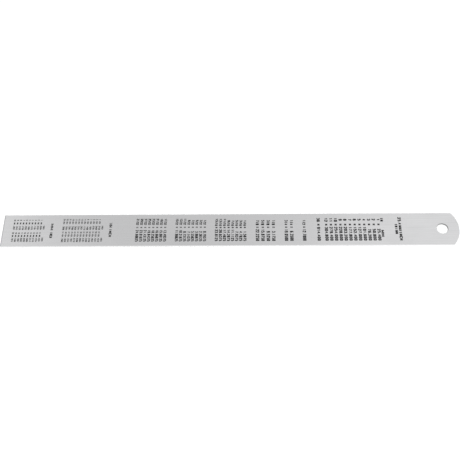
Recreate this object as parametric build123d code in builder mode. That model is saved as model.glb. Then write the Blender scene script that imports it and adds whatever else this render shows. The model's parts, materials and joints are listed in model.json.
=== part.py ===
from build123d import *
import os
from typing import NamedTuple

# A 12 inch and 300 mm steel rule. It lies on its graduated face with its tables upward.
# X runs along the rule to the hanging end, Z is up, and the origin is in the middle
# of the underside.

mm_per_inch = 25.4

# Blade
blade_length = 315.0
blade_width = 25.4
blade_thickness = 1.0
end_rise = 4.8            # from the corners of the hanging end to its rounded tip
corner_radius = 0.4
edge_break = 0.12         # bevel on every sharp edge
hole_diameter = 8.0
hole_to_tip = 11.7

# Graduations, cut as V grooves from just inside the long edges
groove_width = 0.16
groove_depth = 0.08
groove_inset = 0.35
metric_step = 1.0
metric_round = 50.0       # the metric scale ends on a whole number of these
inch_parts = 16
metric_lengths = {10: 6.5, 5: 4.8, 1: 3.4}
inch_lengths = {16: 7.0, 8: 5.8, 4: 4.8, 2: 3.8, 1: 2.8}

# Print: lines of figures across the blade, read with the hanging end upward
ink_thickness = 0.02
line_length = 18.9        # the longest line, centred on the blade
letter_space = 0.25
hole_to_print = 28.7      # from the hole's centre to the top line
end_to_print = 7.65       # from the square end to the lowest line

# Type: the height of a figure, the cell that it stands in and the feed from line to line
heading_height = 2.2
heading_cell = 1.81
subheading_cell = 1.6
heading_feed = 2.6
inch_height = 2.1
inch_cell = 1.75
inch_feed = 3.27
eighth_height = 2.3
eighth_cell = 1.46
eighth_feed = 3.7
sixteenth_height = 2.0
sixteenth_cell = 1.46
sixteenth_feed = 2.8
thirty_second_height = 2.0
thirty_second_cell = 1.25
thirty_second_feed = 2.76
small_height = 1.3
small_cell = 0.79
small_feed = 2.08
title_cell = 1.0          # capitals of a table's title, set at four widths
unit_cell = 1.2
letter_cell = 1.65
wide_cell = 2.8

# Gaps between the last line of one table and the first of the next
header_gap = 2.4
yard_gap = 5.35
title_gap = 5.75
small_table_gap = 8.1
large_table_gap = 8.7
heading_gap = 9.6
half_gap = 9.9
page_gap = 18.6

# Columns: the middle of each word, counted in cells from the line's start. A whole number
# that lines up on its last figure has the place of its end.
heading_columns = {"whole": 2.0, "rest": 2.9, "metric": 4.65, "inch": 8.4}
subheading_columns = {"inch": 4.25, "sign": 5.9, "metric": 7.55}
inch_columns = {"count": 1.1, "sign": 3.35, "whole": 7.3, "rest": 9.25, "header": 7.45}
fraction_columns = {"part": 2.2, "parts": 3.65, "sign": 5.3, "whole": 8.3, "rest": 10.85}
thirty_second_columns = {"part": 2.1, "parts": 3.55, "sign": 5.9, "whole": 8.45, "rest": 12.55}
millimetre_columns = ((1.2, 4.5, 8.77), (14.4, 17.4, 20.95))
sixty_fourth_columns = ((0.95, 4.0, 9.15), (14.1, 17.15, 21.37))
title_columns = ((6.8, 14.7), (8.3, 16.6))
narrow = 0.8              # share of a cell that a figure after a fraction stroke takes
sign = 1.3                # cells that an equals sign takes

square_end = -blade_length / 2
tip = blade_length / 2
shoulder = tip - end_rise
hole_place = tip - hole_to_tip
half_width = blade_width / 2


class Word(NamedTuple):
    """Figures that stand together. The middle is how far along the line theirs is."""

    text: str
    cell: float
    middle: float


class Table(NamedTuple):
    """Lines of print of one size. The gap is from the line above to the first of them."""

    gap: float
    feed: float
    height: float
    lines: list


def right(text, cell, end):
    """A word that ends at a place along the line."""
    return Word(text, cell, end - len(text) * cell / 2)


def decimal(value, places):
    """The figures before and after the decimal point."""
    return f"{value:.{places}f}".split(".")


def short_decimal(value):
    """A value under one, as a point and four figures."""
    return f"{value:.4f}".lstrip("0")


def small_line(entries, columns):
    """A line of small type: the texts of each entry in its columns."""
    return [
        Word(text, small_cell, place * small_cell)
        for texts, places in zip(entries, columns)
        for text, place in zip(texts, places)
    ]


def millimetre_line(row, rows):
    """Two entries of millimetres in decimals of an inch."""
    counts = (row, row + rows)
    entries = [(str(count), "MM", short_decimal(count / mm_per_inch)) for count in counts]
    return small_line(entries, millimetre_columns)


def sixty_fourth_line(row, rows):
    """Two entries of odd sixty-fourths in decimals of an inch."""
    parts = (2 * row - 1, 2 * (row + rows) - 1)
    entries = [(str(part), "/64", short_decimal(part / 64)) for part in parts]
    return small_line(entries, sixty_fourth_columns)


def thirty_second_line(part):
    """A thirty-second of an inch in millimetres."""
    cell = thirty_second_cell
    places = {name: cell * place for name, place in thirty_second_columns.items()}
    whole, rest = decimal(part / 32 * mm_per_inch, 5)
    return [
        right(str(part), cell, places["part"]),
        Word("32", narrow * cell, places["parts"]),
        Word("=", sign * cell, places["sign"]),
        Word(whole, cell, places["whole"]),
        Word(rest, cell, places["rest"]),
    ]


def fraction_line(part, parts, cell):
    """A larger fraction of an inch in millimetres."""
    places = {name: cell * place for name, place in fraction_columns.items()}
    whole, rest = decimal(part / parts * mm_per_inch, 4)
    under = narrow * cell if parts > 9 else cell
    return [
        right(str(part), cell, places["part"]),
        Word(str(parts), under, places["parts"]),
        Word("=", sign * cell, places["sign"]),
        right(whole, cell, places["whole"]),
        Word(rest, cell, places["rest"]),
    ]


def inch_line(inches):
    """Whole inches in millimetres."""
    places = {name: inch_cell * place for name, place in inch_columns.items()}
    whole, rest = decimal(inches * mm_per_inch, 3)
    return [
        Word(str(inches), inch_cell, places["count"]),
        Word("=", sign * inch_cell, places["sign"]),
        right(whole, inch_cell, places["whole"]),
        Word(rest, inch_cell, places["rest"]),
    ]


def heading_line():
    """The millimetres in an inch, over a stroke."""
    places = {name: heading_cell * place for name, place in heading_columns.items()}
    whole, rest = decimal(mm_per_inch, 1)
    return [
        right(whole, heading_cell, places["whole"]),
        Word(rest, heading_cell, places["rest"]),
        Word("MM", heading_cell, places["metric"]),
        Word("INCH", heading_cell, places["inch"]),
    ]


def subheading_line():
    """The two units that the tables convert."""
    places = {name: subheading_cell * place for name, place in subheading_columns.items()}
    return [
        Word("IN", subheading_cell, places["inch"]),
        Word("=", subheading_cell, places["sign"]),
        Word("MM", subheading_cell, places["metric"]),
    ]


def header_line(columns):
    """The unit over the last column of each entry of a small table."""
    return [Word("INCH", small_cell, places[-1] * small_cell) for places in columns]


def title_line(texts, cells, columns):
    """Words of a title, each with its own width of capitals."""
    return [
        Word(text, cell, place * small_cell) for text, cell, place in zip(texts, cells, columns)
    ]


def bars(tables):
    """The bars of the print as a dictionary of size and centres, each bar for one word."""
    drawn = sum(table.gap + table.feed * (len(table.lines) - 1) for table in tables)
    top = hole_place - hole_to_print
    fit = (top - square_end - end_to_print) / drawn
    found = {}
    depth = 0.0
    for table in tables:
        depth += table.gap
        for row, line in enumerate(table.lines):
            place = top - (depth + row * table.feed) * fit
            for word in line:
                size = (table.height, len(word.text) * word.cell - letter_space)
                found.setdefault(size, []).append((place, line_length / 2 - word.middle))
        depth += (len(table.lines) - 1) * table.feed
    return found


def ranked(lengths, count):
    """The number and length of each line of a scale, longest where the number is roundest."""
    return [
        (number, next(length for every, length in lengths.items() if number % every == 0))
        for number in range(1, count + 1)
    ]


# Blade: blanked from sheet, with every sharp edge broken
with BuildPart() as blank:
    with BuildSketch() as outline:
        with BuildLine():
            ThreePointArc((shoulder, half_width), (tip, 0), (shoulder, -half_width))
            Polyline(
                (shoulder, half_width),
                (square_end, half_width),
                (square_end, -half_width),
                (shoulder, -half_width),
            )
        make_face()
        fillet(outline.vertices(), radius=corner_radius)
        with Locations((hole_place, 0)):
            Circle(hole_diameter / 2, mode=Mode.SUBTRACT)
    extrude(amount=blade_thickness)
    chamfer(blank.faces().filter_by(Axis.Z).edges(), length=edge_break)

# Graduations: metric along the far edge of the underside and inches along the near edge
straight_length = shoulder - square_end
metric_count = int(straight_length // metric_round * metric_round / metric_step)
inch_count = int(straight_length // mm_per_inch) * inch_parts
scales = (
    (1, metric_step, ranked(metric_lengths, metric_count)),
    (-1, mm_per_inch / inch_parts, ranked(inch_lengths, inch_count)),
)
cutters = {}
for side, step, lines in scales:
    for length in {length for number, length in lines}:
        with BuildPart() as cutter:
            with BuildSketch(Plane.XZ):
                Polygon(
                    (-groove_width / 2, 0), (groove_width / 2, 0), (0, groove_depth), align=None
                )
            extrude(amount=side * length)
        cutters[side, length] = cutter.part
grooves = [
    Pos(square_end + number * step, side * (half_width - groove_inset)) * cutters[side, length]
    for side, step, lines in scales
    for number, length in lines
]

with BuildPart() as blade:
    add(blank.part)
    add(grooves, mode=Mode.SUBTRACT, clean=False)
blade.part.label = "blade"

# Print: one bar of ink for each word of the tables, from the hanging end down
inch_header = [
    Word("IN", letter_cell, inch_columns["count"] * inch_cell),
    Word("MM", wide_cell, inch_columns["header"] * inch_cell),
]
sixty_fourth_title = title_line(("1/64", "INCH"), (title_cell, letter_cell), title_columns[0])
millimetre_title = title_line(("MM", "INCH"), (wide_cell, unit_cell), title_columns[1])
inches = [inch_line(count) for count in range(1, 13)]
halves = [fraction_line(1, 2, eighth_cell)]
quarters = [fraction_line(part, 4, eighth_cell) for part in (1, 3)]
eighths = [fraction_line(part, 8, eighth_cell) for part in (1, 3, 5, 7)]
sixteenths = [fraction_line(part, 16, sixteenth_cell) for part in range(1, 16, 2)]
low_thirty_seconds = [thirty_second_line(part) for part in range(1, 16, 2)]
high_thirty_seconds = [thirty_second_line(part) for part in range(17, 32, 2)]
sixty_fourths = [sixty_fourth_line(row, 13) for row in range(1, 14)]
millimetres = [millimetre_line(row, 10) for row in range(1, 11)]
tables = [
    Table(0, 0, heading_height, [heading_line()]),
    Table(heading_feed, 0, heading_height, [subheading_line()]),
    Table(heading_gap, 0, heading_height, [inch_header]),
    Table(header_gap, inch_feed, inch_height, inches),
    Table(yard_gap, 0, inch_height, [inch_line(36)]),
    Table(half_gap, 0, eighth_height, halves),
    Table(large_table_gap, eighth_feed, eighth_height, quarters),
    Table(large_table_gap, eighth_feed, eighth_height, eighths),
    Table(large_table_gap, sixteenth_feed, sixteenth_height, sixteenths),
    Table(small_table_gap, thirty_second_feed, thirty_second_height, low_thirty_seconds),
    Table(small_table_gap, thirty_second_feed, thirty_second_height, high_thirty_seconds),
    Table(page_gap, 0, thirty_second_height, [sixty_fourth_title]),
    Table(title_gap, 0, small_height, [header_line(sixty_fourth_columns)]),
    Table(small_feed, small_feed, small_height, sixty_fourths),
    Table(small_table_gap, 0, thirty_second_height, [millimetre_title]),
    Table(title_gap, 0, small_height, [header_line(millimetre_columns)]),
    Table(small_feed, small_feed, small_height, millimetres),
]
with BuildPart() as table_print:
    with BuildSketch(Plane.XY.offset(blade_thickness)):
        for (height, length), centres in bars(tables).items():
            with Locations(*centres):
                Rectangle(height, length)
    extrude(amount=ink_thickness)
table_print.part.label = "table_print"

os.makedirs("parts", exist_ok=True)
export_step(blade.part, "parts/blade.step")
export_step(table_print.part, "parts/table_print.step")
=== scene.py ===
"""Looks of a steel rule that lies on its graduated face, with its conversion tables upward.

X runs along the rule to the hanging end, Z is up and the underside is at zero. The sizes of the
rule are given in millimetres, and every mesh is in metres.
"""

import json
import logging
import math
from dataclasses import dataclass, field
from enum import Enum
from functools import lru_cache
from typing import NamedTuple

import bpy
import numpy as np
from mathutils import Matrix, Vector


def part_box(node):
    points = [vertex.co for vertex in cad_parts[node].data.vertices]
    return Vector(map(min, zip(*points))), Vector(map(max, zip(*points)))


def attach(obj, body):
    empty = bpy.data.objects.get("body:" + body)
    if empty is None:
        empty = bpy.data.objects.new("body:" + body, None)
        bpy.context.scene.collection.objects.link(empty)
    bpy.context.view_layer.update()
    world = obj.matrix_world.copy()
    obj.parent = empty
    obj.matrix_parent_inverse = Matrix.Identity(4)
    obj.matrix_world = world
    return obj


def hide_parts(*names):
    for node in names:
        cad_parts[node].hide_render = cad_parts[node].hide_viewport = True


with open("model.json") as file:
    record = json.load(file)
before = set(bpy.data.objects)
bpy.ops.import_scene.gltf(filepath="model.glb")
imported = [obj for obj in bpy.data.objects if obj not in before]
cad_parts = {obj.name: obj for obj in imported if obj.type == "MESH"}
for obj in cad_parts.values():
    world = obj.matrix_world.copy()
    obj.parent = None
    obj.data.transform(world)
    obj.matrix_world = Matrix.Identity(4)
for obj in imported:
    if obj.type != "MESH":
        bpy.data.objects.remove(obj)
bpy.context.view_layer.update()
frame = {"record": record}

Array = np.ndarray
MM = 0.001
MM_PER_INCH = 25.4
BODY = "root"

WHITE = (1.0, 1.0, 1.0, 1.0)

# A level stroke's thickness as a share of an upright one's.
LEVEL_SHARE = 0.85
# How far a stroke's outer face falls from its start to its end, in millimetres.
STROKE_FALL = 0.0006
# Points closer than this are one point.
SAME_POINT = 1e-6
# The sine of the largest turn that still counts as straight.
STRAIGHT_SINE = 0.05
# A mitre follows a turn until the cosine of half of it is this small.
MITRE_COSINE = 0.5
# The least length that a direction is divided by.
LEAST_LENGTH = 1e-9
# The values of a noise that a finish spreads between its two ends.
NOISE_LOW, NOISE_HIGH = 0.3, 0.7

log = logging.getLogger("steel_rule")


class Side(Enum):
    """The face that figures stand on, as three rows that give the rule's X, Y and Z from how far
    a point is along its line, up it and out of the face. Tables read with the hanging end
    upward. Scales read from below, with the inches at the top."""

    TABLES = ((0, 1, 0), (-1, 0, 0), (0, 0, 1))
    SCALES = ((1, 0, 0), (0, -1, 0), (0, 0, -1))


class Rank(Enum):
    """Where a figure stands in its line: share of the line's height, and share of the rest that
    lies below it."""

    FULL = (1.0, 0.0)
    UPPER = (0.9, 1.0)
    LOWER = (0.9, 0.0)


class Stroke(NamedTuple):
    """One stroke of a figure, as control points in its box. A point given twice is a corner.
    The share is how much of the type's weight it has."""

    points: tuple[tuple[float, float], ...]
    closed: bool = False
    share: float = 1.0


GLYPHS: dict[str, tuple[Stroke, ...]] = {
    "0": (Stroke(((0, 0), (0.5, 0), (1, 0), (1, 0.5), (1, 1), (0.5, 1), (0, 1), (0, 0.5)), True),),
    "1": (Stroke(((0.12, 0.72), (0.6, 1), (0.6, 1), (0.6, 0)), share=1.12),),
    "2": (Stroke(((0, 0.7), (0, 1), (1, 1), (1, 0.56), (0, 0.04), (0, 0), (0, 0), (1, 0))),),
    "3": (
        Stroke(((0, 0.8), (0.05, 1), (0.95, 1), (0.95, 0.54), (0.36, 0.54))),
        Stroke(((0.36, 0.54), (1, 0.54), (1, 0), (0.03, 0), (0, 0.2))),
    ),
    "4": (
        Stroke(((0.8, 0), (0.8, 1))),
        Stroke(((0.66, 1), (-0.1, 0.26), (-0.1, 0.26), (1.1, 0.26)), share=0.66),
    ),
    "5": (
        Stroke(((0.96, 1), (0.02, 1), (0.02, 1), (0.02, 0.56)), share=0.9),
        Stroke(((0.02, 0.56), (0.3, 0.6), (1, 0.64), (1, 0), (0.06, 0), (0, 0.2))),
    ),
    "6": (
        Stroke(
            (
                (0.94, 0.84), (0.85, 1), (0, 1), (0, 0.5), (0, 0), (0.5, 0), (1, 0),
                (1, 0.6), (0.5, 0.6), (0, 0.6), (0, 0.3),
            )
        ),
    ),
    "7": (Stroke(((0, 1), (1, 1), (1, 1), (0.32, 0))),),
    "8": (
        Stroke(((0, 0), (0.5, 0), (1, 0), (1, 0.54), (0.5, 0.54), (0, 0.54)), True),
        Stroke(((0.06, 0.54), (0.5, 0.54), (0.94, 0.54), (0.94, 1), (0.5, 1), (0.06, 1)), True),
    ),
    "9": (
        Stroke(
            (
                (0.06, 0.16), (0.15, 0), (1, 0), (1, 0.5), (1, 1), (0.5, 1), (0, 1),
                (0, 0.4), (0.5, 0.4), (1, 0.4), (1, 0.7),
            )
        ),
    ),
    ".": (Stroke(((0.3, 0), (0.7, 0))),),
    "/": (Stroke(((0.1, 0), (0.9, 1)), share=1.15),),
    "=": (Stroke(((0, 0.28), (1, 0.28)), share=1.2), Stroke(((0, 0.72), (1, 0.72)), share=1.2)),
    "I": (Stroke(((0.5, 0), (0.5, 1))),),
    "N": (
        Stroke(((0, 0), (0, 1))),
        Stroke(((1, 0), (1, 1))),
        Stroke(((0, 0.92), (1, 0.08))),
    ),
    "C": (Stroke(((1, 0.76), (0.96, 1), (0, 1), (0, 0.5), (0, 0), (0.96, 0), (1, 0.24))),),
    "H": (
        Stroke(((0, 0), (0, 1))),
        Stroke(((1, 0), (1, 1))),
        Stroke(((0, 0.5), (1, 0.5))),
    ),
    "M": (
        Stroke(((0, 0), (0, 1))),
        Stroke(((1, 0), (1, 1))),
        Stroke(((0.06, 0.98), (0.5, 0.2), (0.5, 0.2), (0.94, 0.98)), share=0.72),
    ),
}


def smooth_line(points: Array, closed: bool, samples: int = 3) -> Array:
    """A quadratic B-spline, with the points that lie on a straight run left out.

    Each span bends from the middle of one leg to the middle of the next. Its place is
    (1 - t) squared times its start, plus 2t(1 - t) times the control point, plus t squared
    times its end.

    Args:
        points: control points, one row each.
        closed: whether the line joins its own start.
        samples: places worked out on each span.

    Returns:
        The points of the line, one row each.
    """
    ring = points if closed else np.vstack((points[:1], points, points[-1:]))
    start = (np.roll(ring, 1, 0) + ring) / 2
    end = (ring + np.roll(ring, -1, 0)) / 2
    t = (np.arange(samples) / samples)[None, :, None]
    spans = (1 - t) ** 2 * start[:, None] + 2 * t * (1 - t) * ring[:, None] + t**2 * end[:, None]
    if not closed:
        spans = spans[1:-1]
    line = spans.reshape(-1, 2)
    if not closed:
        line = np.vstack((line, points[-1:]))
    apart = np.linalg.norm(line - np.roll(line, 1, 0), axis=1) > SAME_POINT
    apart[0] = apart[0] or not closed
    line = line[apart]
    arrive = line - np.roll(line, 1, 0)
    leave = np.roll(line, -1, 0) - line
    turn = arrive[:, 0] * leave[:, 1] - arrive[:, 1] * leave[:, 0]
    lengths = np.linalg.norm(arrive, axis=1) * np.linalg.norm(leave, axis=1)
    bends = np.abs(turn) > STRAIGHT_SINE * lengths
    if not closed:
        bends[[0, -1]] = True
    return line[bends]


def ribbon(line: Array, closed: bool, weight: float) -> tuple[Array, Array]:
    """The two edges of a stroke: the line moved to each side by half its weight, mitred.

    At each point the edges lie along the sum of the two legs' normals, at half the weight
    divided by the cosine of half the turn, to twice the half weight at most.

    Args:
        line: points of the stroke's middle.
        closed: whether the stroke joins its own start.
        weight: width of the stroke.

    Returns:
        The left edge and the right edge, as many points as the line has.
    """
    leave = np.roll(line, -1, 0) - line
    arrive = line - np.roll(line, 1, 0)
    if not closed:
        leave[-1] = arrive[-1]
        arrive[0] = leave[0]
    legs = [leg / np.linalg.norm(leg, axis=1)[:, None] for leg in (arrive, leave)]
    normals = [np.column_stack((-leg[:, 1], leg[:, 0])) for leg in legs]
    mitre = normals[0] + normals[1]
    mitre /= np.maximum(np.linalg.norm(mitre, axis=1), LEAST_LENGTH)[:, None]
    cosine = np.maximum((mitre * normals[0]).sum(1), MITRE_COSINE)
    away = mitre * (weight / 2 / cosine)[:, None]
    return line + away, line - away


def tube_quads(sections: int, corners: int, closed: bool) -> Array:
    """Faces between neighbouring sections of a tube, and its two ends if it has four corners.

    Args:
        sections: number of sections.
        corners: number of corners of each section.
        closed: whether the last section joins the first.

    Returns:
        Four vertex numbers a row.
    """
    first = np.arange(sections if closed else sections - 1)[:, None] * corners
    second = (first + corners) % (sections * corners)
    here = np.arange(corners)[None]
    there = (here + 1) % corners
    quads = np.stack(
        (first + here, second + here, second + there, first + there), axis=-1
    ).reshape(-1, 4)
    if closed:
        return quads
    last = (sections - 1) * corners
    return np.vstack((quads, [[0, 1, 2, 3]], [[last + 3, last + 2, last + 1, last]]))


@lru_cache(maxsize=None)
def glyph(
    character: str, width: float, height: float, weight: float, low: float, high: float
) -> tuple[Array, Array]:
    """One figure as closed strokes with a rectangular profile, from low to high out of its face.

    The strokes' middles fill the figure's box less half the weight at each side, and mitred
    tips are cut off level with the box. Level strokes are thinner than upright ones, as in
    all bold type, so each stroke is widened in a box that is stretched upright. A stroke's
    outer face falls a little along it, and starts where the one before it ended, so where
    strokes cross no two faces lie in one plane.

    Args:
        character: a key of GLYPHS.
        width: width of the box.
        height: height of the box.
        weight: width of the strokes.
        low: where the profile starts, out of the face.
        high: where the profile ends, out of the face.

    Returns:
        Vertices as along, up and out, and faces.
    """
    box = np.array((width, height))
    level = np.array((1.0, LEVEL_SHARE))
    vertices, quads, count = [], [], 0
    for number, stroke in enumerate(GLYPHS[character]):
        line = smooth_line(np.array(stroke.points, float), stroke.closed)
        line = weight / 2 + line * (box / level - weight)
        edges = ribbon(line, stroke.closed, weight * stroke.share)
        left, right = (np.clip(edge * level, 0, box) for edge in edges)
        outer = high - STROKE_FALL * (number + np.linspace(0, 1, len(line)))
        inner = np.full(len(line), low)
        corners = [
            np.column_stack((edge, out))
            for edge, out in ((left, outer), (right, outer), (right, inner), (left, inner))
        ]
        vertices.append(np.stack(corners, axis=1).reshape(-1, 3))
        quads.append(tube_quads(len(line), 4, stroke.closed) + count)
        count += 4 * len(line)
    return np.vstack(vertices), np.vstack(quads)


def add_mesh(
    name: str, vertices: Array, quads: Array, smooth: Array | None = None
) -> bpy.types.Object:
    """A piece at the origin from vertices in millimetres, turned the right way out.

    The volume inside the faces is the sum over their triangles of a third of the corner's
    distance along the face's area vector, and the faces are reversed if it is negative.

    Args:
        name: the piece's name.
        vertices: one row of X, Y and Z each.
        quads: four vertex numbers a row.
        smooth: which faces are shaded smooth, or none of them.

    Returns:
        The piece's object.
    """
    a, b, c, d = (vertices[quads[:, corner]] for corner in range(4))
    volume = (a * np.cross(c - a, d - b)).sum() / 6
    if volume < 0:
        quads = quads[:, ::-1]
    mesh = bpy.data.meshes.new(name)
    mesh.from_pydata(vertices * MM, [], quads)
    if smooth is not None:
        mesh.polygons.foreach_set("use_smooth", smooth)
    mesh.validate()
    piece = bpy.data.objects.new(name, mesh)
    bpy.context.scene.collection.objects.link(piece)
    return piece


def linear(code: str) -> tuple[float, float, float, float]:
    """An sRGB hex colour as linear red, green and blue, with an alpha of 1.

    Args:
        code: six hex digits after a hash.

    Returns:
        Each channel divided by 12.92 in its foot, and else (channel + 0.055) / 1.055 to the 2.4.
    """
    channels = (int(code[start : start + 2], 16) / 255 for start in (1, 3, 5))
    red, green, blue = (
        channel / 12.92 if channel <= 0.04045 else ((channel + 0.055) / 1.055) ** 2.4
        for channel in channels
    )
    return red, green, blue, 1.0


def add_node(
    tree: bpy.types.NodeTree, kind: str, links: dict | None = None, **settings: object
) -> bpy.types.Node:
    """A node with its settings and links.

    Args:
        tree: the node tree that it goes into.
        kind: the node's type name.
        links: socket name or number to a value, or to the output socket that feeds it.
        settings: properties of the node.

    Returns:
        The node.
    """
    node = tree.nodes.new(kind)
    for name, value in settings.items():
        setattr(node, name, value)
    for socket, value in (links or {}).items():
        if isinstance(value, bpy.types.NodeSocket):
            tree.links.new(value, node.inputs[socket])
        else:
            node.inputs[socket].default_value = value
    return node


@dataclass(frozen=True)
class BrushedSteel:
    """Stainless steel, drawn lengthwise over abrasive belts to a satin.

    The eye gets a soft grey sheen that changes slowly along the blade, with fine grain that
    runs from end to end. The real grain is 0.05 mm wide. It is drawn coarser, because less
    than 0.3 mm would not show. A darker line is painted along the square end, which lies at
    the given X, as painted shade for the shadow and the dark reflection there.
    """

    end: float

    name: str = "stainless_steel_brushed"
    bright: str = "#c3c3c4"
    dull: str = "#bababb"
    roughness: tuple[float, float] = (0.18, 0.25)
    grain_width: float = 0.3
    grain_length: float = 30.0
    grain_detail: float = 3.0
    grain_depth: float = 0.02
    bump: float = 0.03
    cloud: float = 24.0
    cloud_detail: float = 2.0
    cloud_share: float = 0.35
    # Painted shade: a dark colour along the square end, for shadow and dark reflection there.
    sheared: str = "#565657"
    shear_width: float = 0.7

    def material(self) -> bpy.types.Material:
        """The material, with its grain, its clouds, its bump and the painted shade line at its end.
        """
        steel = bpy.data.materials.new(self.name)
        steel.use_nodes = True
        tree = steel.node_tree
        shader = tree.nodes["Principled BSDF"]
        shader.inputs["Metallic"].default_value = 1.0
        place = add_node(tree, "ShaderNodeTexCoord").outputs["Object"]
        lengthwise, crosswise = 1 / (self.grain_length * MM), 1 / (self.grain_width * MM)
        stretch = lengthwise, crosswise, crosswise
        along = add_node(tree, "ShaderNodeMapping", {"Vector": place, "Scale": stretch})
        grain = add_node(
            tree,
            "ShaderNodeTexNoise",
            {"Vector": along.outputs[0], "Scale": 1.0, "Detail": self.grain_detail},
        ).outputs["Fac"]
        wide = add_node(
            tree,
            "ShaderNodeTexNoise",
            {"Vector": place, "Scale": 1 / (self.cloud * MM), "Detail": self.cloud_detail},
        ).outputs["Fac"]
        both = add_node(
            tree,
            "ShaderNodeMix",
            {"Factor": self.cloud_share, 2: grain, 3: wide},
            data_type="FLOAT",
        ).outputs[0]
        noise = {"Value": both, 1: NOISE_LOW, 2: NOISE_HIGH}
        tone = add_node(tree, "ShaderNodeMapRange", noise).outputs[0]
        colour = add_node(
            tree,
            "ShaderNodeMix",
            {0: tone, 6: linear(self.dull), 7: linear(self.bright)},
            data_type="RGBA",
        ).outputs[2]
        # Painted shade: the colour darkens to the end shade over its width before the square end.
        x_place = add_node(tree, "ShaderNodeSeparateXYZ", {0: place}).outputs["X"]
        inside = add_node(
            tree,
            "ShaderNodeMapRange",
            {"Value": x_place, 1: self.end * MM, 2: (self.end + self.shear_width) * MM},
        ).outputs[0]
        painted_end_shade_mix = add_node(
            tree,
            "ShaderNodeMix",
            {0: inside, 6: linear(self.sheared), 7: colour},
            data_type="RGBA",
        )
        smooth, coarse = self.roughness
        rough = add_node(tree, "ShaderNodeMapRange", {**noise, 3: coarse, 4: smooth})
        bump = add_node(
            tree,
            "ShaderNodeBump",
            {"Height": grain, "Distance": self.grain_depth * MM, "Strength": self.bump},
        )
        tree.links.new(painted_end_shade_mix.outputs[2], shader.inputs["Base Color"])
        tree.links.new(rough.outputs[0], shader.inputs["Roughness"])
        tree.links.new(bump.outputs[0], shader.inputs["Normal"])
        return steel


@dataclass(frozen=True)
class SpeckledFinish:
    """A finish of two close tones in fine specks, matt or metallic.

    It serves the fired ink, the black filling of the grooves and the edges of the steel.
    """

    name: str
    light: str
    dark: str
    roughness: tuple[float, float]
    speck: float
    metallic: float = 0.0
    specular: float = 0.5
    speck_detail: float = 3.0
    speck_depth: float = 0.01
    bump: float = 0.2

    def material(self) -> bpy.types.Material:
        """The material, with one noise for its tone, its roughness and its bump."""
        made = bpy.data.materials.new(self.name)
        made.use_nodes = True
        tree = made.node_tree
        shader = tree.nodes["Principled BSDF"]
        shader.inputs["Metallic"].default_value = self.metallic
        shader.inputs["Specular IOR Level"].default_value = self.specular
        place = add_node(tree, "ShaderNodeTexCoord").outputs["Object"]
        specks = add_node(
            tree,
            "ShaderNodeTexNoise",
            {"Vector": place, "Scale": 1 / (self.speck * MM), "Detail": self.speck_detail},
        ).outputs["Fac"]
        noise = {"Value": specks, 1: NOISE_LOW, 2: NOISE_HIGH}
        share = add_node(tree, "ShaderNodeMapRange", noise).outputs[0]
        colour = add_node(
            tree,
            "ShaderNodeMix",
            {0: share, 6: linear(self.dark), 7: linear(self.light)},
            data_type="RGBA",
        )
        low, high = self.roughness
        rough = add_node(tree, "ShaderNodeMapRange", {"Value": share, 3: low, 4: high})
        bump = add_node(
            tree,
            "ShaderNodeBump",
            {"Height": specks, "Distance": self.speck_depth * MM, "Strength": self.bump},
        )
        tree.links.new(colour.outputs[2], shader.inputs["Base Color"])
        tree.links.new(rough.outputs[0], shader.inputs["Roughness"])
        tree.links.new(bump.outputs[0], shader.inputs["Normal"])
        return made


# Ceramic ink, screen printed and fired: matt, nearly black, with faint grey specks.
FIRED_INK = SpeckledFinish("black_ink_fired", "#131314", "#080809", (0.6, 0.75), 0.3, specular=0.15)
# Lacquer wiped into the etched grooves: a shade lighter and a little smoother than the ink.
GROOVE_FILLING = SpeckledFinish(
    "black_lacquer_filling", "#18181a", "#0c0c0d", (0.4, 0.55), 0.2, specular=0.35
)
# Sheared edges, ground and barrelled, a little rougher than the brushed faces. Their light colour
# is a painted reflection of the bright floor that the walls face.
GROUND_EDGE_PAINTED_REFLECTION = SpeckledFinish(
    "stainless_steel_ground_edge", "#f4f4f5", "#e8e8e9", (0.2, 0.32), 0.4, metallic=1.0
)
# Steel that the punch went through: rougher than the ground edges, and dark as painted shade for
# the shadowed floor in the hole that its wall would reflect.
PUNCHED_STEEL_PAINTED_SHADE = SpeckledFinish(
    "stainless_steel_punched", "#909091", "#747475", (0.45, 0.6), 0.25, metallic=0.7
)


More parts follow.
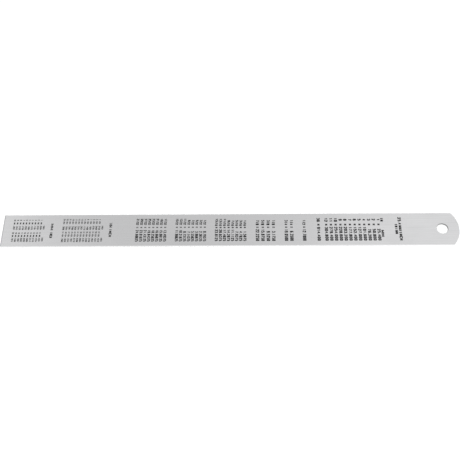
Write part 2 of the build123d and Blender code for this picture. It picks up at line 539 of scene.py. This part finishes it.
@dataclass
class Blade:
    """The strip of steel: a square end, a rounded end with the hole, and broken edges."""

    low: Vector
    high: Vector
    hole_place: float
    hole_radius: float
    end_rise: float = 4.8
    corner_radius: float = 0.4
    edge_round: float = 0.12
    edge_steps: int = 3
    tip_points: int = 32
    shoulder_points: int = 6
    edge_points: int = 70
    corner_points: int = 7
    end_points: int = 6

    def half_outline(self) -> tuple[Array, Array]:
        """The outline from the rounded tip to the middle of the square end, on the far side.

        The end is an arc through the tip and both shoulders, and its radius is (half the width
        squared plus the rise squared) over twice the rise. Each corner is an arc that touches
        its two neighbours. The points of the long edge lie where rays at even angles from the
        hole's centre meet it.

        Returns:
            Points and the outward normals at them, in millimetres.
        """
        half_width = self.high.y
        radius = (half_width**2 + self.end_rise**2) / (2 * self.end_rise)
        centre = self.high.x - radius
        inner = radius - self.corner_radius, half_width - self.corner_radius
        shoulder = centre + math.sqrt(inner[0] ** 2 - inner[1] ** 2)
        meeting = math.atan2(inner[1], shoulder - centre)
        corner = self.low.x + self.corner_radius

        def arc(x: float, y: float, size: float, angles: Array) -> tuple[Array, Array]:
            """Points of a circle about x and y at some angles, and its normals there."""
            normals = np.column_stack((np.cos(angles), np.sin(angles)))
            return np.array((x, y)) + size * normals, normals

        tip = arc(centre, 0, radius, np.linspace(0, meeting, self.tip_points + 1)[:-1])
        turn = np.linspace(meeting, math.pi / 2, self.shoulder_points)
        first = arc(shoulder, inner[1], self.corner_radius, turn)
        turn = np.linspace(math.pi / 2, math.pi, self.corner_points)
        last = arc(corner, inner[1], self.corner_radius, turn)
        rays = np.linspace(
            math.atan2(half_width, shoulder - self.hole_place),
            math.atan2(half_width, corner - self.hole_place),
            self.edge_points + 2,
        )[1:-1]
        edge = np.column_stack(
            (self.hole_place + half_width / np.tan(rays), np.full(len(rays), half_width))
        )
        down = np.linspace(inner[1], 0, self.end_points + 1)[1:]
        end = np.column_stack((np.full(self.end_points, self.low.x), down))
        points = np.vstack((tip[0], first[0], edge, last[0], end))
        normals = np.vstack(
            (
                tip[1],
                first[1],
                np.tile((0.0, 1.0), (len(edge), 1)),
                last[1],
                np.tile((-1.0, 0.0), (len(end), 1)),
            )
        )
        return points, normals

    def surface(self) -> tuple[Array, Array, Array]:
        """The whole skin as one surface of two parameters that closes on itself both ways.

        The first parameter runs round the outline. The second runs from the hole's wall over
        its rim, the top face, the edge, the outer wall, the lower edge and the underside, and
        back. A point is the outline moved inwards along its normal, or the hole's circle at the
        same angle moved outwards, and both are quarter circles over the rounded edges.

        Returns:
            Vertices, faces, and for each face the ring that it starts from.
        """
        points, normals = self.half_outline()
        mirror = np.array((1, -1))
        points = np.vstack((points, points[-2:0:-1] * mirror))
        normals = np.vstack((normals, normals[-2:0:-1] * mirror))
        away = points - np.array((self.hole_place, 0))
        around = away / np.linalg.norm(away, axis=1)[:, None]
        centre = np.array((self.hole_place, 0))
        quarter = np.linspace(0, math.pi / 2, self.edge_steps + 1)
        inward = self.edge_round * (1 - np.cos(quarter))
        height = self.high.z - self.edge_round * (1 - np.sin(quarter))
        bottom = self.high.z - height
        rings = [
            *((centre + (self.hole_radius + i) * around, z) for i, z in zip(inward, height)),
            *((points - i * normals, z) for i, z in zip(inward[::-1], height[::-1])),
            *((points - i * normals, z) for i, z in zip(inward, bottom)),
            *(
                (centre + (self.hole_radius + i) * around, z)
                for i, z in zip(inward[::-1], bottom[::-1])
            ),
        ]
        vertices = np.vstack([np.column_stack((ring, np.full(len(ring), z))) for ring, z in rings])
        quads = tube_quads(len(rings), len(points), True)
        ring_of = np.repeat(np.arange(len(rings)), len(points))
        return vertices, quads, ring_of

    def build(self) -> bpy.types.Object:
        """Makes the blade, dresses it and sets it in the place of its solid.

        Returns:
            The blade's object.
        """
        vertices, quads, ring_of = self.surface()
        # The rings are those of the upper rim, the upper edge, the lower edge and the lower rim.
        # A flat face follows the last ring of the first and of the third of these.
        step = self.edge_steps + 1
        flat = np.isin(ring_of, (step - 1, 3 * step - 1))
        piece = add_mesh("blade_steel", vertices, quads, ~flat)
        # The edges' light colour is a painted reflection of the bright floor.
        for finish in (BrushedSteel(self.low.x), GROUND_EDGE_PAINTED_REFLECTION, PUNCHED_STEEL_PAINTED_SHADE):
            piece.data.materials.append(finish.material())
        # The hole's wall and rims take the finish that is dark with painted shade.
        hole_painted_shade = ~flat & ((ring_of < step) | (ring_of >= 3 * step))
        slots = np.where(flat, 0, np.where(hole_painted_shade, 2, 1))
        piece.data.polygons.foreach_set("material_index", slots.astype(np.int32))
        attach(piece, BODY)
        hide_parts("blade")
        return piece


class Word(NamedTuple):
    """Figures that stand together. The middle is how far along the line theirs is."""

    text: str
    cell: float
    middle: float
    rank: Rank = Rank.FULL


@dataclass
class Figures:
    """Figures gathered for one mesh on one face of the rule. The space between two of them is
    a share of their cell, and no stroke is wider than a share of its figure."""

    side: Side
    face: float
    low: float
    high: float
    space: float = 0.1
    widest: float = 0.45
    places: dict[tuple[str, float, float, float], list[tuple[float, float]]] = field(
        default_factory=dict
    )

    def add_word(self, word: Word, height: float, weight: float, along: float, up: float) -> None:
        """Sets a word's figures in their cells.

        Args:
            word: the word.
            height: height of its line.
            weight: width of its strokes.
            along: where its line starts.
            up: the foot of its line.
        """
        share, lift = word.rank.value
        tall = round(height * share, 4)
        space = self.space * word.cell
        width = round(word.cell - space, 4)
        weight = min(weight, round(self.widest * width, 4))
        foot = up + (height - tall) * lift
        start = along + word.middle - (len(word.text) * word.cell - space) / 2
        for number, character in enumerate(word.text):
            key = (character, width, tall, weight)
            self.places.setdefault(key, []).append((start + number * word.cell, foot))

    def surface(self) -> tuple[Array, Array]:
        """Every figure's mesh, repeated at its places and turned onto its face.

        Returns:
            Vertices and faces.
        """
        vertices, quads, count = [], [], 0
        for key, places in self.places.items():
            pattern, faces = glyph(*key, self.low, self.high)
            moves = np.column_stack((places, np.zeros(len(places))))
            vertices.append((pattern[None] + moves[:, None]).reshape(-1, 3))
            steps = count + len(pattern) * np.arange(len(places))
            quads.append((faces[None] + steps[:, None, None]).reshape(-1, 4))
            count += len(pattern) * len(places)
        turned = np.vstack(vertices) @ np.array(self.side.value, float).T
        return turned + np.array((0, 0, self.face)), np.vstack(quads)


@dataclass(frozen=True)
class Type:
    """A size of type: a figure's height, its cell, its stroke and the feed to the next line,
    where it has one."""

    height: float
    cell: float
    weight: float
    feed: float = 0.0


class FractionColumns(NamedTuple):
    """Where the words of a fraction's line stand, in cells from its start: the end of the upper
    number, the middles of the slash, the lower number and the sign, the end of the whole part
    and the middle of the figures after the point. The last is how many these are."""

    upper: float
    slash: float
    lower: float
    sign: float
    whole: float
    rest: float
    places: int


@dataclass(frozen=True)
class Table:
    """Lines of one size of type. The gap is from the line above to the first of them."""

    gap: float
    type: Type
    lines: list[list[Word]]


def below_one(value: float) -> str:
    """A number below one to four places, without its nought."""
    return f"{value:.4f}"[1:]


def in_columns(
    texts: tuple[str, ...], cells: tuple[float, ...], columns: tuple[float, ...], unit: float
) -> list[Word]:
    """Words in columns, with the empty ones left out.

    Args:
        texts: what stands in each column.
        cells: the cell of each word's figures.
        columns: the middle of each word, in units from the start of the line.
        unit: the unit of the columns.

    Returns:
        The words, left to right.
    """
    places = zip(texts, cells, columns)
    return [Word(text, cell, column * unit) for text, cell, column in places if text]


def decimals(value: float, places: int, cell: float, end: float, middle: float) -> list[Word]:
    """A decimal number in three words: its whole part, its point and the figures after it.

    Args:
        value: the number.
        places: how many figures follow the point.
        cell: the cell of its figures.
        end: where the whole part ends along the line.
        middle: the middle of the figures after the point.

    Returns:
        The three words.
    """
    whole, rest = f"{value:.{places}f}".split(".")
    start = middle - places * cell / 2
    return [
        Word(whole, cell, end - len(whole) * cell / 2),
        Word(".", cell, (end + start) / 2),
        Word(rest, cell, middle),
    ]


@dataclass
class Tables:
    """The printed tables of the upper face, from the hanging end down.

    A column is a middle, or the end of a whole part, in cells of its type from the start of a
    line. A gap is from one table's last line to the next one's first, before all of them are
    fitted to the length of the print. A slash and a lower number of two figures have cells
    narrower than their type's, and an equals sign between numbers has a wider one.
    """

    low: Vector
    high: Vector
    line_length: float = 18.9
    sunk: float = 0.004
    narrow: float = 0.8
    wide_sign: float = 1.3
    heading: Type = Type(2.35, 1.81, 0.7, 2.6)
    subheading: Type = Type(2.35, 1.6, 0.62, 2.6)
    inch: Type = Type(2.3, 1.75, 0.67, 3.27)
    eighth: Type = Type(2.45, 1.46, 0.6, 3.7)
    sixteenth: Type = Type(2.15, 1.46, 0.6, 2.8)
    thirty_second: Type = Type(2.12, 1.25, 0.52, 2.76)
    small: Type = Type(1.3, 0.79, 0.26, 2.08)
    title_weight: float = 0.56
    title_cell: float = 1.0
    unit_cell: float = 1.2
    letter_cell: float = 1.65
    wide_cell: float = 2.8
    coarse: FractionColumns = FractionColumns(2.2, 2.72, 3.65, 5.3, 8.3, 10.85, 4)
    fine: FractionColumns = FractionColumns(2.1, 2.5, 3.55, 5.9, 9.45, 12.55, 5)
    heading_columns: tuple[float, ...] = (2.0, 2.9, 4.65, 6.02, 8.4)
    subheading_columns: tuple[float, ...] = (4.25, 5.9, 7.55)
    header_columns: tuple[float, ...] = (1.1, 7.45)
    inch_columns: tuple[float, ...] = (1.1, 3.35, 7.3, 9.25)
    inch_places: int = 3
    part_title: tuple[float, ...] = (6.8, 14.7)
    part_columns: tuple[tuple[float, ...], ...] = ((0.95, 4.0, 9.15), (14.1, 17.15, 21.37))
    length_title: tuple[float, ...] = (8.3, 16.6)
    length_columns: tuple[tuple[float, ...], ...] = ((1.2, 4.5, 8.77), (14.4, 17.4, 20.95))
    header_gap: float = 9.6
    inches_gap: float = 2.4
    yard_gap: float = 5.35
    fractions_gap: float = 9.9
    block_gap: float = 8.7
    fine_gap: float = 8.1
    small_gap: float = 18.6
    units_gap: float = 5.75

    def fraction(self, part: int, parts: int, kind: Type) -> list[Word]:
        """A fraction of an inch in millimetres, over a slash.

        Args:
            part: the number over the slash.
            parts: the number under it.
            kind: the type, which decides the columns.

        Returns:
            The words of the line.
        """
        cell = kind.cell
        columns = self.fine if kind is self.thirty_second else self.coarse
        over, under = str(part), str(parts)
        under_cell = self.narrow * cell if len(under) > 1 else cell
        value = part / parts * MM_PER_INCH
        return [
            Word(over, cell, (columns.upper - len(over) / 2) * cell, Rank.UPPER),
            Word("/", self.narrow * cell, columns.slash * cell),
            Word(under, under_cell, columns.lower * cell, Rank.LOWER),
            Word("=", self.wide_sign * cell, columns.sign * cell),
            *decimals(value, columns.places, cell, columns.whole * cell, columns.rest * cell),
        ]

    def heading_line(self) -> list[Word]:
        """The millimetres in an inch, over a stroke."""
        cell = self.heading.cell
        whole, rest, millimetres, slash, inch = (place * cell for place in self.heading_columns)
        return [
            *decimals(MM_PER_INCH, 1, cell, whole, rest),
            Word("MM", cell, millimetres),
            Word("/", self.narrow * cell, slash),
            Word("INCH", cell, inch),
        ]

    def subheading_line(self) -> list[Word]:
        """The two units that the tables convert."""
        cell = self.subheading.cell
        return in_columns(("IN", "=", "MM"), (cell,) * 3, self.subheading_columns, cell)

    def inches(self, count: int) -> list[Word]:
        """Whole inches in millimetres.

        Args:
            count: how many inches.

        Returns:
            The words of the line.
        """
        cell = self.inch.cell
        inch, sign, whole, rest = (place * cell for place in self.inch_columns)
        return [
            Word(str(count), cell, inch),
            Word("=", self.wide_sign * cell, sign),
            *decimals(count * MM_PER_INCH, self.inch_places, cell, whole, rest),
        ]

    def small_line(
        self, entries: list[tuple[str, str, str]], columns: tuple[tuple[float, ...], ...]
    ) -> list[Word]:
        """A line of small type, in which each entry has its own columns."""
        cell = self.small.cell
        return [
            word
            for texts, places in zip(entries, columns)
            for word in in_columns(texts, (cell,) * len(texts), places, cell)
        ]

    def tables(self) -> list[Table]:
        """Every table in order, worked out from 25.4 mm to the inch.

        Returns:
            The tables from the hanging end to the square end.
        """
        units = [("", "", "INCH")] * 2
        parts = [
            [(str(n), "/64", below_one(n / 64)) for n in pair]
            for pair in zip(range(1, 27, 2), range(27, 53, 2))
        ]
        lengths = [
            [(str(n), "MM", below_one(n / MM_PER_INCH)) for n in pair]
            for pair in zip(range(1, 11), range(11, 21))
        ]
        title = Type(self.thirty_second.height, self.small.cell, self.title_weight)
        header = in_columns(
            ("IN", "MM"), (self.letter_cell, self.wide_cell), self.header_columns, self.inch.cell
        )
        part_title = in_columns(
            ("1/64", "INCH"), (self.title_cell, self.letter_cell), self.part_title, title.cell
        )
        length_title = in_columns(
            ("MM", "INCH"), (self.wide_cell, self.unit_cell), self.length_title, title.cell
        )
        inch, small, eighth = self.inch, self.small, self.eighth
        sixteenth, finer = self.sixteenth, self.thirty_second
        return [
            Table(0.0, self.heading, [self.heading_line()]),
            Table(self.heading.feed, self.subheading, [self.subheading_line()]),
            Table(self.header_gap, self.heading, [header]),
            Table(self.inches_gap, inch, [self.inches(n) for n in range(1, 13)]),
            Table(self.yard_gap, inch, [self.inches(36)]),
            Table(self.fractions_gap, eighth, [self.fraction(1, 2, eighth)]),
            *(
                Table(gap, kind, [self.fraction(n, under, kind) for n in over])
                for gap, kind, under, over in (
                    (self.block_gap, eighth, 4, (1, 3)),
                    (self.block_gap, eighth, 8, (1, 3, 5, 7)),
                    (self.block_gap, sixteenth, 16, range(1, 16, 2)),
                    (self.fine_gap, finer, 32, range(1, 16, 2)),
                    (self.fine_gap, finer, 32, range(17, 32, 2)),
                )
            ),
            Table(self.small_gap, title, [part_title]),
            Table(self.units_gap, small, [self.small_line(units, self.part_columns)]),
            Table(small.feed, small, [self.small_line(line, self.part_columns) for line in parts]),
            Table(self.fine_gap, title, [length_title]),
            Table(self.units_gap, small, [self.small_line(units, self.length_columns)]),
            Table(
                small.feed, small, [self.small_line(line, self.length_columns) for line in lengths]
            ),
        ]

    def build(self) -> bpy.types.Object:
        """Sets every line between the print's own ends and makes one mesh of the figures.

        Returns:
            The object of the tables.
        """
        tables = self.tables()
        top = self.high.x - self.heading.height / 2
        bottom = self.low.x + self.small.height / 2
        drawn = sum(table.gap + table.type.feed * (len(table.lines) - 1) for table in tables)
        fit = (top - bottom) / drawn
        ink = Figures(Side.TABLES, self.low.z, -self.sunk, self.high.z - self.low.z)
        depth = 0.0
        for table in tables:
            depth += table.gap
            for number, line in enumerate(table.lines):
                middle = top - (depth + number * table.type.feed) * fit
                for word in line:
                    ink.add_word(
                        word,
                        table.type.height,
                        table.type.weight,
                        -self.line_length / 2,
                        middle - table.type.height / 2,
                    )
            depth += (len(table.lines) - 1) * table.type.feed
        piece = add_mesh("table_figures", *ink.surface())
        piece.data.materials.append(FIRED_INK.material())
        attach(piece, BODY)
        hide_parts("table_print")
        return piece


@dataclass
class Scales:
    """The black filling of the graduations and the figures of the hidden face.

    Numbers stand on the left of their lines by a gap, at a distance from the long edge. A unit's
    mark is its cell, its middle from the square end and its foot's distance from the long edge.
    """

    low: Vector
    high: Vector
    line_width: float = 0.16
    inset: float = 0.35
    proud: float = 0.004
    deep: float = 0.05
    metric_count: int = 300
    inch_parts: int = 16
    inch_count: int = 192
    metric_lengths: tuple[tuple[int, float], ...] = ((10, 6.5), (5, 4.8), (1, 3.4))
    inch_lengths: tuple[tuple[int, float], ...] = (
        (16, 7.0), (8, 5.8), (4, 4.8), (2, 3.8), (1, 2.8),
    )
    metric_type: Type = Type(1.9, 1.35, 0.24)
    metric_type_gap: float = 0.5
    metric_type_edge: float = 4.3
    metric_mark: tuple[float, float, float] = (1.8, 3.6, 7.6)
    inch_type: Type = Type(2.9, 2.0, 0.36)
    inch_type_gap: float = 0.6
    inch_type_edge: float = 4.7
    inch_mark: tuple[float, float, float] = (1.5, 4.6, 9.8)
    mark_height: float = 1.7

    def lines(
        self, count: int, step: float, lengths: tuple[tuple[int, float], ...], edge: float
    ) -> tuple[Array, Array]:
        """The lines of one scale as closed bars, each a box between two corners.

        A line's length is that of the roundest number that divides its own.

        Args:
            count: number of lines.
            step: distance from line to line.
            lengths: number that divides and length, longest first.
            edge: the long edge that they start from, as Y.

        Returns:
            Vertices and faces.
        """
        numbers = np.arange(1, count + 1)
        size = np.select([numbers % every == 0 for every, _ in lengths], [s for _, s in lengths])
        middle = self.low.x + numbers * step
        side = np.sign(edge)
        start = np.full(count, edge - side * self.inset)
        corners = np.array([(x, y, z) for x in (0, 1) for y in (0, 1) for z in (0, 1)])
        lowest = np.column_stack((middle - self.line_width / 2, start, np.full(count, -self.proud)))
        extent = np.column_stack(
            (
                np.full(count, self.line_width),
                -side * size,
                np.full(count, self.proud + self.deep),
            )
        )
        vertices = (lowest[:, None] + corners[None] * extent[:, None]).reshape(-1, 3)
        box = np.array(
            ((0, 1, 3, 2), (4, 6, 7, 5), (0, 4, 5, 1), (2, 3, 7, 6), (0, 2, 6, 4), (1, 5, 7, 3))
        )
        if side > 0:
            box = box[:, ::-1]
        quads = (box[None] + len(corners) * np.arange(count)[:, None, None]).reshape(-1, 4)
        return vertices, quads

    def build(self) -> list[bpy.types.Object]:
        """Makes the filled lines and the figures of both scales.

        Returns:
            The two objects.
        """
        metric = self.lines(self.metric_count, 1.0, self.metric_lengths, self.high.y)
        inch = self.lines(
            self.inch_count, MM_PER_INCH / self.inch_parts, self.inch_lengths, self.low.y
        )
        lines = add_mesh(
            "scale_filling",
            np.vstack((metric[0], inch[0])),
            np.vstack((metric[1], inch[1] + len(metric[0]))),
        )
        figures = Figures(Side.SCALES, 0.0, -self.deep, self.proud)
        metric_foot = -self.high.y + self.metric_type_edge
        inch_foot = self.high.y - self.inch_type_edge - self.inch_type.height
        tens = range(10, self.metric_count + 1, 10)
        inches = range(1, self.inch_count // self.inch_parts + 1)
        for marked, step, kind, gap, foot in (
            (tens, 1.0, self.metric_type, self.metric_type_gap, metric_foot),
            (inches, MM_PER_INCH, self.inch_type, self.inch_type_gap, inch_foot),
        ):
            for number in marked:
                text = str(number)
                word = Word(text, kind.cell, -gap - len(text) * kind.cell / 2)
                place = self.low.x + number * step
                figures.add_word(word, kind.height, kind.weight, place, foot)
        for text, (cell, middle, edge), side in (
            ("MM", self.metric_mark, -1),
            ("INCH", self.inch_mark, 1),
        ):
            foot = side * (self.high.y - edge)
            word = Word(text, cell, middle)
            figures.add_word(word, self.mark_height, self.metric_type.weight, self.low.x, foot)
        numbers = add_mesh("scale_figures", *figures.surface())
        filling = GROOVE_FILLING.material()
        for piece in (lines, numbers):
            piece.data.materials.append(filling)
            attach(piece, BODY)
        return [lines, numbers]


@dataclass
class Panel:
    """A soft studio panel that faces the middle of the rule. It may be kept out of the metal's
    reflections, as a lamp outside the family of angles is."""

    name: str
    towards: tuple[float, float, float]
    distance: float
    width: float
    height: float
    radiance: float
    reflected: bool = True

    def build(self) -> bpy.types.Object:
        """Makes the panel, with its power as radiance times pi times its area.

        Returns:
            The lamp's object.
        """
        lamp = bpy.data.lights.new(self.name, "AREA")
        lamp.shape = "RECTANGLE"
        lamp.size = self.width
        lamp.size_y = self.height
        lamp.energy = self.radiance * math.pi * self.width * self.height
        panel = bpy.data.objects.new(self.name, lamp)
        direction = Vector(self.towards).normalized()
        panel.location = direction * self.distance
        panel.rotation_euler = direction.to_track_quat("Z", "Y").to_euler()
        panel.visible_glossy = self.reflected
        bpy.context.scene.collection.objects.link(panel)
        return panel


@dataclass
class Studio:
    """The white floor, the world, the panels and the camera.

    Its lengths are metres, apart from the camera's, which are millimetres. Angles are radians.
    """

    floor_half: float = 4.0
    floor_level: float = -0.02 * MM
    floor_colour: str = "#f4f4f4"
    floor_glow: float = 0.12
    shadow_reach: tuple[float, float] = (0.3, 0.8)
    world_diffuse: float = 0.42
    sensor_width: float = 36.0
    focal_length: float = 65.11
    camera_place: tuple[float, float, float] = (12.13, -299.25, 489.76)
    camera_tilt: float = 0.549262191
    camera_yaw: float = 0.0398832231
    camera_roll: float = -0.0391531511
    panels: tuple[Panel, ...] = (
        Panel("panel_key", (0.15, -0.14, 0.9), 6.0, 2.0, 2.0, 22.0, reflected=False),
        Panel("panel_right", (0.53, 0.5, 0.82), 1.5, 0.9, 1.4, 0.27),
        Panel("panel_far", (0.42, 0.5, 0.82), 1.6, 1.3, 1.5, 0.05),
        Panel("panel_left", (-0.7, 0.5, 0.82), 1.5, 0.7, 1.4, 0.32),
    )

    def seen(
        self, tree: bpy.types.NodeTree, direct: float | bpy.types.NodeSocket
    ) -> bpy.types.NodeSocket:
        """How much of what a ray meets glows by itself, so that metal shows a white studio.

        Args:
            tree: the node tree of the world or the floor.
            direct: the share for what the camera sees directly.

        Returns:
            That share, 1 for what metal and glass show, and 0 for diffuse light.
        """
        path = add_node(tree, "ShaderNodeLightPath").outputs
        total = add_node(
            tree,
            "ShaderNodeMath",
            {0: path["Is Camera Ray"], 1: direct},
            operation="MULTIPLY",
        ).outputs[0]
        for ray in ("Is Glossy Ray", "Is Transmission Ray"):
            total = add_node(
                tree, "ShaderNodeMath", {0: total, 1: path[ray]}, operation="MAXIMUM"
            ).outputs[0]
        return total

    def build_world(self) -> None:
        """White where it is seen, and plain soft light where it falls on matt surfaces."""
        world = bpy.data.worlds.new("studio_world")
        world.use_nodes = True
        bpy.context.scene.world = world
        tree = world.node_tree
        tree.nodes.clear()
        light = add_node(
            tree, "ShaderNodeBackground", {"Color": WHITE, "Strength": self.world_diffuse}
        )
        seen = add_node(tree, "ShaderNodeBackground", {"Color": WHITE, "Strength": 1.0})
        mixed = add_node(
            tree,
            "ShaderNodeMixShader",
            {0: self.seen(tree, 1.0), 1: light.outputs[0], 2: seen.outputs[0]},
        )
        add_node(tree, "ShaderNodeOutputWorld", {0: mixed.outputs[0]})

    def build_floor(self) -> bpy.types.Object:
        """A wide white sheet just under the rule, which keeps its soft shadow.

        It glows by itself away from the rule, by its distance in metres, so that it is white
        to its edge. It is clear from below, so that the graduated face can be looked at too.

        Returns:
            The floor's object.
        """
        corners = np.array(((-1, -1, 0), (1, -1, 0), (1, 1, 0), (-1, 1, 0)), float)
        mesh = bpy.data.meshes.new("floor")
        mesh.from_pydata(corners * self.floor_half + (0, 0, self.floor_level), [], [(0, 1, 2, 3)])
        floor = bpy.data.objects.new("floor", mesh)
        bpy.context.scene.collection.objects.link(floor)
        paper = bpy.data.materials.new("studio_paper")
        paper.use_nodes = True
        tree = paper.node_tree
        tree.nodes.clear()
        place = add_node(tree, "ShaderNodeTexCoord").outputs["Object"]
        distance = add_node(tree, "ShaderNodeVectorMath", {0: place}, operation="LENGTH")
        near, far = self.shadow_reach
        direct = add_node(
            tree,
            "ShaderNodeMapRange",
            {"Value": distance.outputs["Value"], 1: near, 2: far, 3: self.floor_glow, 4: 1.0},
        ).outputs[0]
        matt = add_node(tree, "ShaderNodeBsdfDiffuse", {"Color": linear(self.floor_colour)})
        glow = add_node(tree, "ShaderNodeEmission", {"Color": WHITE, "Strength": 1.0})
        mixed = add_node(
            tree,
            "ShaderNodeMixShader",
            {0: self.seen(tree, direct), 1: matt.outputs[0], 2: glow.outputs[0]},
        )
        back = add_node(tree, "ShaderNodeNewGeometry").outputs["Backfacing"]
        clear = add_node(tree, "ShaderNodeBsdfTransparent")
        sheet = add_node(
            tree, "ShaderNodeMixShader", {0: back, 1: mixed.outputs[0], 2: clear.outputs[0]}
        )
        add_node(tree, "ShaderNodeOutputMaterial", {0: sheet.outputs[0]})
        mesh.materials.append(paper)
        return floor

    def build_camera(self) -> bpy.types.Object:
        """The camera, turned by its roll, then its tilt from straight down, then its yaw.

        Returns:
            The camera's object.
        """
        lens = bpy.data.cameras.new("camera")
        lens.sensor_width = self.sensor_width
        lens.lens = self.focal_length
        camera = bpy.data.objects.new("camera", lens)
        turn = (
            Matrix.Rotation(self.camera_yaw, 4, "Z")
            @ Matrix.Rotation(self.camera_tilt, 4, "X")
            @ Matrix.Rotation(self.camera_roll, 4, "Z")
        )
        camera.matrix_world = Matrix.Translation(Vector(self.camera_place) * MM) @ turn
        bpy.context.scene.collection.objects.link(camera)
        bpy.context.scene.camera = camera
        return camera

    def build(self) -> None:
        """Sets up everything round the rule, at a plain exposure."""
        bpy.context.scene.view_settings.view_transform = "Standard"
        self.build_world()
        self.build_floor()
        for panel in self.panels:
            panel.build()
        self.build_camera()


def millimetre_box(node: str) -> tuple[Vector, Vector]:
    """The lowest and highest corners of a node of the frame, in millimetres."""
    low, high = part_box(node)
    return low / MM, high / MM


def main() -> None:
    logging.basicConfig(level=logging.INFO, format="%(name)s: %(message)s")
    hole = next(mount for mount in frame["record"]["mounts"] if mount["name"] == "hang_hole")
    blade = Blade(*millimetre_box("blade"), hole["pos_m"][0] / MM, hole["dims"]["r_mm"])
    pieces = [blade.build()]
    pieces.append(Tables(*millimetre_box("table_print")).build())
    pieces.extend(Scales(blade.low, blade.high).build())
    Studio().build()
    for piece in pieces:
        faces = len(piece.data.polygons)
        triangles = sum(face.loop_total - 2 for face in piece.data.polygons)
        log.info("%s: %d faces, %d triangles", piece.name, faces, triangles)


if __name__ == "__main__":
    main()
